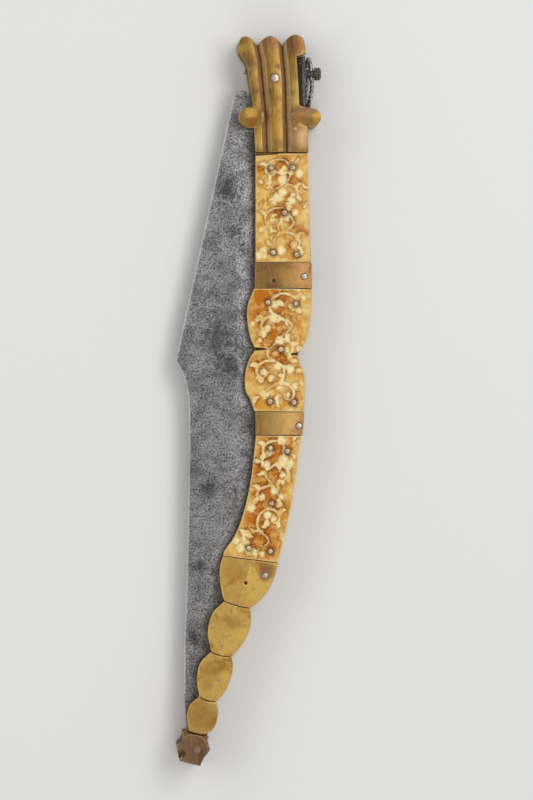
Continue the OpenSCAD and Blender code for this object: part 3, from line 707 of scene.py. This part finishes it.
def scroll(top, low, middle, half, bays, lean, bold, commas, rng):
    """Dots (x, y, half width) of a waving stem, its spiral tendrils, leaves and berries.
    Stem: x = middle(y) + 0.4 half(y) sin(pi bays t). Tendril: r = r0 (1 - 0.86 t) + lead e^(-9t)."""
    t = np.linspace(0, 1, stem_points)
    y = top + (low - top) * t
    sway = lean * 0.4 * half(y) * (np.sin(np.pi * bays * t) + 0.16 * np.sin(2.3 * np.pi * bays * t + 1))
    dots = [np.column_stack([middle(y) + sway, y, bold * (0.26 + 0.13 * np.sin(11 * t))])]
    berries = []
    bay = abs(low - top) / bays
    for _ in range(commas):
        at_y = rng.uniform(low, top)
        root = np.array([middle(at_y) + rng.uniform(-0.9, 0.9) * half(at_y), at_y])
        heading, long = rng.uniform(0, 6.28), rng.uniform(3, 6.5)
        bend = rng.choice([-1, 1]) * rng.uniform(1.4, 2.9)
        dots.append(comma(root, heading, long, bend, bold * rng.uniform(0.35, 0.85)))
    for k in range(bays):
        hand = lean * (-1) ** k
        at_y = top + (low - top) * (k + 0.5) / bays
        at = np.array([middle(at_y) - hand * 0.42 * half(at_y), at_y + rng.uniform(-0.6, 0.6)])
        leave = np.array([middle(at_y + bay / 2), at_y + bay / 2]) - at
        radius = min(0.42 * half(at_y), 0.3 * bay) * rng.uniform(0.85, 1.15)
        s = np.linspace(0, 1, curl_points)
        turn = math.atan2(leave[1], leave[0]) + hand * 2 * np.pi * rng.uniform(1.05, 1.4) * s
        reach = radius * (1 - 0.86 * s) + (np.linalg.norm(leave) - radius) * np.exp(-9 * s)
        curl = at + reach[:, None] * np.column_stack([np.cos(turn), np.sin(turn)])
        dots.append(np.column_stack([curl, bold * (0.34 - 0.14 * s + 0.08 * np.sin(9 * s))]))
        berries.append([*at, bold * rng.uniform(0.7, 1.0)])
        for on_curl, long in ((0.2, 5.0), (0.44, 3.6)):
            root = curl[int(curl_points * on_curl)]
            out = math.atan2(*(root - at)[::-1])
            dots.append(comma(root, out - hand * 0.9, long, hand * rng.uniform(1.6, 2.6), bold * 0.7))
    return np.vstack(dots), np.array(berries)


def nearest(points, centres, widths, block=4000):
    """Least of distance to a centre less its width, worked out in blocks of points."""
    found = [(np.linalg.norm(points[i:i + block, None] - centres[None], axis=2) - widths).min(axis=1)
             for i in range(0, len(points), block)]
    return np.concatenate(found)


print("scroll formulas ready")

# %% [markdown]
# Three panels of bone lie on each face, between the brass head, bands and tail. They differ
# only in outline, in the number of the scroll's bays, in their pins and in where the stain
# is deep, so one table holds these places, in millimetres of the drawing.

# %% The three panels of a face
panels = {
    "upper_bone": {
        "left": [[-9.7, -38.2], [-9.7, -91.8]], "right": [[17, -37.3], [18.2, -91.8]],
        "line": [[3.6, -38], [4.1, -92]], "bays": 4, "lean": 1, "bold": 1.2, "commas": 22, "spots": 20,
        "pins": [[-1.7, -44.8], [8.95, -44.55], [4.8, -67.3], [-0.9, -87.15], [10.95, -88.2]],
        "stain": [[-3.3, -43.5, 2.6, 1.0], [4, -42, 4, 0.95], [4.2, -50, 4.2, 1.0], [1.5, -57, 3.4, 0.85],
                  [6.8, -60.5, 3.4, 0.95], [1.8, -67.5, 3.4, 0.95], [8.5, -68, 2.6, 0.8], [9, -75, 4.5, 0.6],
                  [15.6, -76, 3.6, 0.6], [12.5, -51, 4, 0.45], [6, -85, 3.4, 0.6], [-7.5, -46, 3, 0.7],
                  [14.5, -62, 3, 0.5]]},
    "middle_bone": {
        "left": [[-10.4, -105.2], [-13.2, -112], [-14, -118], [-13.2, -125.5], [-11.9, -131], [-9.9, -135.7],
                 [-12.2, -139.2], [-14.3, -145], [-15, -149.5], [-14.7, -156], [-12.5, -160.2], [-10.4, -166.4]],
        "right": [[18.6, -105.4], [18.5, -116.3], [17.4, -126.5], [15.3, -133], [11.8, -138.2],
                  [14.1, -145], [15.4, -150], [15.4, -157], [14.9, -166.8]],
        "line": [[2.4, -105], [0, -167]], "bays": 5, "lean": -1, "bold": 1.75, "commas": 19, "spots": 17,
        "waist": [[(-4.2, -135.5), (-16, -135.2), 1.0], [(8.3, -137.9), (16, -138), 0.9]],
        "pins": [[-3.5, -112.15], [10.5, -112.7], [3, -135.65], [-2.4, -161.65], [9.6, -162.15]],
        "stain": [[-6, -109, 7, 1.0], [2, -109, 5, 0.9], [-8, -119, 5, 0.8], [1, -119, 6, 0.85], [-4, -131, 5, 0.9],
                  [3, -129, 5, 0.8], [3, -141, 5, 0.8], [-9, -144, 5, 0.9], [9, -160, 4, 0.9], [11, -120, 6, 0.4],
                  [9, -146, 4, 0.5], [-4, -150, 4, 0.5]]},
    "lower_bone": {
        "left": [[-9.5, -178.7], [-10.5, -188], [-12, -200.2], [-14.4, -212.3], [-17.7, -223.2],
                 [-21.1, -230.5], [-25.3, -236.5], [-25.9, -238.7]],
        "right": [[13.5, -179], [11.7, -194.2], [9.3, -209.9], [6, -226.3], [2, -242.3]],
        "line": [[3, -179], [-11, -241]], "bays": 5, "lean": 1, "bold": 1.65, "commas": 21, "spots": 17,
        "pins": [[-2.25, -185.05], [6.35, -186.55], [-1.65, -212.6], [-13.05, -235.05], [-2.25, -236.55]],
        "stain": [[0, -184, 6, 1.0], [-5, -193, 6, 0.95], [3, -198, 6, 0.8], [-6, -207, 6, 1.0], [0, -214, 6, 0.9],
                  [-9, -220, 6, 1.0], [-13, -231, 6, 1.0], [-3, -230, 6, 0.8], [-4, -237, 4, 0.8], [5, -186, 4, 0.7]]},
}


side_margin, end_margin, farthest = 1.2, 2.5, 9.0
spot_radii = (0.7, 2.4)


def face_panel(name, plan, front):
    """One finished panel: its shell, and on each point how far it is from scroll, berry, pin and edge."""
    grid, top, edge_far = panel_points(plan["left"], plan["right"], plan["line"], plan.get("waist"))
    verts, faces, rim = closed_shell(grid, top, bone_base)
    west, east = smooth_line(plan["left"]), smooth_line(plan["right"])

    def half(y):
        """Half the panel's width at a height, less the margin: (east x - west x) / 2 - margin."""
        return (np.interp(-y, -east[:, 1], east[:, 0]) - np.interp(-y, -west[:, 1], west[:, 0])) / 2 - side_margin

    def middle(y):
        """The panel's middle at a height: (east x + west x) / 2."""
        return (np.interp(-y, -east[:, 1], east[:, 0]) + np.interp(-y, -west[:, 1], west[:, 0])) / 2

    rng = np.random.default_rng(len(name) * 7 + plan["bays"])
    high, low = west[0, 1] - end_margin, (west[-1, 1] + east[-1, 1]) / 2 + end_margin
    dots, berries = scroll(high, low, middle, half, plan["bays"], plan["lean"], plan["bold"], plan["commas"], rng)
    seeds_y = rng.uniform(low, high, plan["spots"])
    seeds_x = middle(seeds_y) + rng.uniform(-0.95, 0.95, len(seeds_y)) * half(seeds_y)
    seeds = np.column_stack([seeds_x, seeds_y, rng.uniform(*spot_radii, len(seeds_y))])
    spots = np.vstack([berries, seeds])
    plan_points = verts[:, :2]
    marks = {
        "scroll": nearest(plan_points, dots[:, :2], dots[:, 2]),
        "berry": nearest(plan_points, spots[:, :2], spots[:, 2]),
        "pin": nearest(plan_points, np.array(plan["pins"]), 0.0),
        "waist": wedge_gap(plan_points, plan["waist"]) if "waist" in plan else np.full(len(plan_points), farthest),
        "edge": np.concatenate([edge_far.ravel(), np.zeros(len(rim))]),
    }
    stain = np.array(plan["stain"])
    gap = np.linalg.norm(plan_points[:, None] - stain[None, :, :2], axis=2)
    marks["stain"] = 1 - np.prod(1 - stain[:, 3] * np.exp(-(gap / stain[:, 2]) ** 2), axis=1)
    if not front:
        verts = verts * (1, 1, -1)
        faces = [face[::-1] for face in faces]
    return to_scene(verts), faces, marks


def into_mesh(name, verts, faces, marks, material, sharp=40):
    """Puts points, faces and marks into an object, with smooth light except over sharp edges."""
    mesh = bpy.data.meshes.new(name)
    mesh.from_pydata(verts.tolist(), [], [tuple(face) for face in faces])
    work = bmesh.new()
    work.from_mesh(mesh)
    bmesh.ops.recalc_face_normals(work, faces=work.faces)
    work.to_mesh(mesh)
    work.free()
    mesh.polygons.foreach_set("use_smooth", np.ones(len(mesh.polygons), bool))
    mesh.set_sharp_from_angle(angle=math.radians(sharp))
    for label, values in marks.items():
        layer = mesh.attributes.new(label, "FLOAT", "POINT")
        layer.data.foreach_set("value", np.clip(values, -5, farthest).astype(np.float32))
    mesh.materials.append(material)
    return new_object(name, mesh)


print("panels described")

# %% [markdown]
# The stain was brushed over the carved lines and rubbed back. So the amber is deepest just
# beside a line and thins out away from it, the lines stay cream, each pin has a brown burnt
# ring, and the panel's edges are rubbed bright. Short dark pores run along the bone. Bone
# isn't clear enough to need light that goes through it: a satin shader with a thin coat,
# and these colours laid over each other in the order of the work, are enough.

# %% Stained bone
def mark(tree, name):
    """Reads one of the marks that the panel's points carry."""
    return add(tree, "ShaderNodeAttribute", {"attribute_name": name, "attribute_type": "GEOMETRY"}).outputs["Fac"]


bone, tree, shader, soft_edge = start_material("stained_bone", 0.0, 0.38, 0)
where = millimetres(tree)
clouds = place(tree, "blotches", Size=8.0, Low=0.4, High=0.62, Seed=101.0)
mottle = place(tree, "blotches", Size=3.0, Low=0.4, High=0.58, Rough=0.65, Seed=131.0)
fine = place(tree, "blotches", Size=0.8, Low=0.4, High=0.65, Rough=0.75, Seed=151.0)
pores = place(tree, "scratches", Turn=0.0, Low=0.6, High=0.68, Seed=171.0)
wobble = add(tree, "ShaderNodeTexNoise", None, Vector=where, Scale=0.7, Detail=4.0).outputs[0]
shake = times(tree, calc(tree, "SUBTRACT", wobble, 0.5), 1.3)
from_scroll = calc(tree, "ADD", mark(tree, "scroll"), shake)
from_berry = calc(tree, "ADD", mark(tree, "berry"), times(tree, shake, 2.2))
figure = fade(tree, from_scroll, -0.5, 0.42, 1.0, 0.0)
faded = place(tree, "blotches", Size=5.0, Low=0.42, High=0.6, Seed=191.0)
pale_wash = place(tree, "blotches", Size=4.5, Low=0.53, High=0.64, Rough=0.5, Seed=211.0)
blob = fade(tree, from_berry, -1.2, 0.7, 1.0, 0.0)
hug = fade(tree, from_scroll, 0.05, 2.0, 1.0, 0.0)
tone = blend_colour(tree, clouds, colour("#f6d27a"), colour("#e0a03a"))
tone = layer(tree, tone, pale_wash, 0.6, "#fde9a2")
tone = layer(tree, tone, fine, 0.3, "#c08430")
wash = times(tree, mark(tree, "stain"), calc(tree, "ADD", times(tree, mottle, 0.9), 0.65))
wash = calc(tree, "ADD", wash, times(tree, mottle, 0.12), True)
line_stain = times(tree, fade(tree, from_scroll, 0.1, 1.7, 0.5, 0.0), without(tree, pale_wash, 0.7))
wash = calc(tree, "MAXIMUM", wash, line_stain)
wash = times(tree, wash, without(tree, blob, 0.85))
tone = layer(tree, tone, wash, 1, "#c27010")
deep = times(tree, times(tree, wash, hug), calc(tree, "ADD", fine, 0.4), True)
deep = times(tree, deep, calc(tree, "ADD", times(tree, clouds, 0.4), 0.8), True)
tone = layer(tree, tone, deep, 0.95, "#642804")
tone = layer(tree, tone, blob, 0.9, "#feefb4")
line_tone = blend_colour(tree, faded, colour("#fdebac"), colour("#f3bf66"))
tone = blend_colour(tree, times(tree, figure, 0.92), tone, line_tone)
tone = layer(tree, tone, pores, 0.14, "#7a5228")
worn = calc(tree, "ADD", mark(tree, "edge"), times(tree, shake, 0.5))
tone = layer(tree, tone, fade(tree, worn, 0.1, 0.8, 0.55, 0.0), 1, "#fbe6a4")
# Painted shade: the waist's wedge cuts are coloured dark, as the shade inside them.
tone = layer(tree, tone, fade(tree, mark(tree, "waist"), 0.0, 0.6, 0.95, 0.0), 1, "#2e1d10")
from_pin = calc(tree, "ADD", mark(tree, "pin"), times(tree, shake, 1.6))
halo = times(tree, fade(tree, from_pin, 1.8, 3.4, 1.0, 0.0), calc(tree, "ADD", mottle, 0.5), True)
tone = layer(tree, tone, halo, 0.6, "#6a300c")
tone = layer(tree, tone, fade(tree, mark(tree, "pin"), 1.4, 1.95, 0.8, 0.0), 1, "#53300f")
slit = beside(tree, where, (-9.8, -38.35), (1.0, -37.75))
tone = layer(tree, tone, fade(tree, slit, 0.15, 0.8, 0.95, 0.0), 1, "#1c120a")
put(tree, shader.inputs["Base Color"], tone)
put(tree, shader.inputs["Roughness"], calc(tree, "ADD", times(tree, wash, 0.12), 0.34))
shader.inputs["Coat Weight"].default_value = 0.04
shader.inputs["Specular IOR Level"].default_value = 0.22
shader.inputs["Coat Roughness"].default_value = 0.2
relief = calc(tree, "SUBTRACT", times(tree, fine, 0.15), times(tree, figure, 0.4))
relief = calc(tree, "SUBTRACT", relief, times(tree, pores, 0.3))
bump(tree, shader, relief, 0.08, None)
print("bone finish made")

# %% [markdown]
# The rear face mirrors the front one, so each panel is worked out once for each face, with
# its heights turned over for the rear. Every panel takes the place of the model's plain one.

# %% Put the panels on both faces
for name, plan in panels.items():
    for face, front in (("front", True), ("rear", False)):
        verts, faces, marks = face_panel(name, plan, front)
        made = into_mesh(f"{face}_{name}_scrolled", verts, faces, marks, bone)
        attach(made, "handle")
        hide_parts(f"{face}_{name}")
        print(made.name, len(made.data.vertices), "points")

# %% [markdown]
# The pull ring is one round wire bent to a long ring, twisted along its lower half so that
# fingers grip it. The near limb bows out a little from the handle. A torus could be pulled
# into this shape, but a path says it directly: two straight limbs, two half circles, and a
# bow that is added to the near limb.

# %% The pull ring's path
ring_low, ring_high = (1000 * (np.array(corner) - pivot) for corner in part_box("pull_ring"))
wire = 1.1
lean = math.radians(98)
ring_deep, limb_x, bow_reach = 8.6, 18.3, 4
limb_points, bend_points, even_out = 90, 40, 6
top_y, low_y = ring_high[1] - wire - ring_deep / 2, ring_low[1] + wire + ring_deep / 2
bend = np.linspace(0, np.pi, bend_points, endpoint=False)
straight = np.linspace(0, 1, limb_points, endpoint=False)
down = np.column_stack([np.zeros(limb_points), top_y + (low_y - top_y) * straight])
under = np.column_stack([ring_deep / 2 * (1 - np.cos(bend)), low_y - ring_deep / 2 * np.sin(bend)])
up = np.column_stack([np.full(limb_points, ring_deep), low_y + (top_y - low_y) * straight])
over = np.column_stack([ring_deep / 2 * (1 + np.cos(bend)), top_y + ring_deep / 2 * np.sin(bend)])
flat = np.vstack([down, under, up, over])
near_limb = np.clip(1 - flat[:, 0] / bow_reach, 0, 1)
bow_y = np.array([-14, -11, -7, -3, -0.3, 1.2, 5, 8, 12.1])
bow_x = np.array([-0.9, -0.3, 0.5, 0.9, 0.7, 0.3, 0.25, 0.1, -0.8])
swing_out = np.interp(flat[:, 1], bow_y, bow_x)
swing_out = sum(np.roll(swing_out, k) for k in range(-even_out, even_out + 1)) / (2 * even_out + 1)
ring_x = limb_x + flat[:, 0] * math.cos(lean) + near_limb * swing_out
ring_path = np.column_stack([ring_x, flat[:, 1], -flat[:, 0] * math.sin(lean)])
ring_way = np.linalg.norm(np.diff(ring_path, axis=0), axis=1).sum()
print("ring path", len(ring_path), "points,", round(float(ring_way)), "mm")

# %% [markdown]
# A tube is a circle carried along the path: at each step the path's direction and a fixed
# side direction span the circle's plane. A real twist winds several wires together. Here four
# shallow hollows that turn with the way along the path give the same look on one wire, and
# they fade out where the upper limb stays plain and slides through the stud.

# %% A twisted tube along a closed path
def twisted_tube(path, radius, hollow, turns_per_mm, sides=28):
    """Point = path + r (cos a side + sin a out), with r = radius (1 - hollow (1 - cos 4(a - twist)) / 2)
    and twist = turns_per_mm * 2 pi * way. Hollows only cut in, so the tube stays in its wire's size."""
    ahead = np.roll(path, -1, axis=0) - np.roll(path, 1, axis=0)
    ahead /= np.linalg.norm(ahead, axis=1)[:, None]
    side = np.tile([-math.sin(lean), 0.0, -math.cos(lean)], (len(path), 1))
    out = np.cross(ahead, side)
    out /= np.linalg.norm(out, axis=1)[:, None]
    side = np.cross(out, ahead)
    way = np.concatenate([[0], np.cumsum(np.linalg.norm(np.diff(path, axis=0), axis=1))])
    twist = 2 * np.pi * turns_per_mm * way[:, None]
    angle = np.linspace(0, 2 * np.pi, sides, endpoint=False)[None, :]
    wide = radius * (1 - hollow[:, None] * (1 - np.cos(4 * (angle - twist))) / 2)
    points = path[:, None] + wide[..., None] * (np.cos(angle)[..., None] * side[:, None]
                                                + np.sin(angle)[..., None] * out[:, None])
    index = np.arange(len(path) * sides).reshape(len(path), sides)
    quads = np.stack([index, np.roll(index, -1, 1), np.roll(np.roll(index, -1, 1), -1, 0), np.roll(index, -1, 0)], -1)
    return points.reshape(-1, 3), quads.reshape(-1, 4).tolist()


hollow_deep, grip_top, grip_fade = 0.34, 1.0, 2.5
grip = hollow_deep * np.clip((grip_top - ring_path[:, 1]) / grip_fade, 0, 1)
verts, faces = twisted_tube(ring_path, wire, grip, turns_per_mm=0.1)
ring = into_mesh("twisted_pull_ring", to_scene(verts), faces, {}, ring_steel, sharp=60)
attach(ring, "ring")
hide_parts("pull_ring")
print(ring.name, len(verts), "points")

# %% [markdown]
# The other pieces keep the model's own shape, which already has its grooves, ridges and
# bevels, and only take their finish. One table says which finish goes on which piece, as a
# polisher's list would, and each slot of the piece gets it.

# %% Finishes for the model's own pieces
on_both_faces = {
    "liner": plain_brass, "head_bolster": head_brass, "upper_band": band_brass, "lower_band": band_brass,
    "tail_bolster": tail_brass, "tail_beads": tail_brass, "finial": finial_brass,
    "bone_pins": pin_steel, "brass_pins": pin_brass,
}
finishes = {
    "back_spacer": spring_steel, "lock_spring": spring_steel, "spring_stud": stud_steel,
    "blade": blade_steel, "pivot_pin": pale_steel, "head_rivet": copper_pin,
    "spring_rivet": pale_steel, "back_rivets": pale_steel, "bead_rivet": copper_pin,
    "finial_rivet": finial_pin,
}
finishes |= {f"{face}_{name}": on_both_faces[name] for face in ("front", "rear") for name in on_both_faces}
for name, material in finishes.items():
    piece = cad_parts[name]
    if not piece.material_slots:
        piece.data.materials.append(material)
    for slot in piece.material_slots:
        slot.material = material
print("finished nodes", len(finishes))
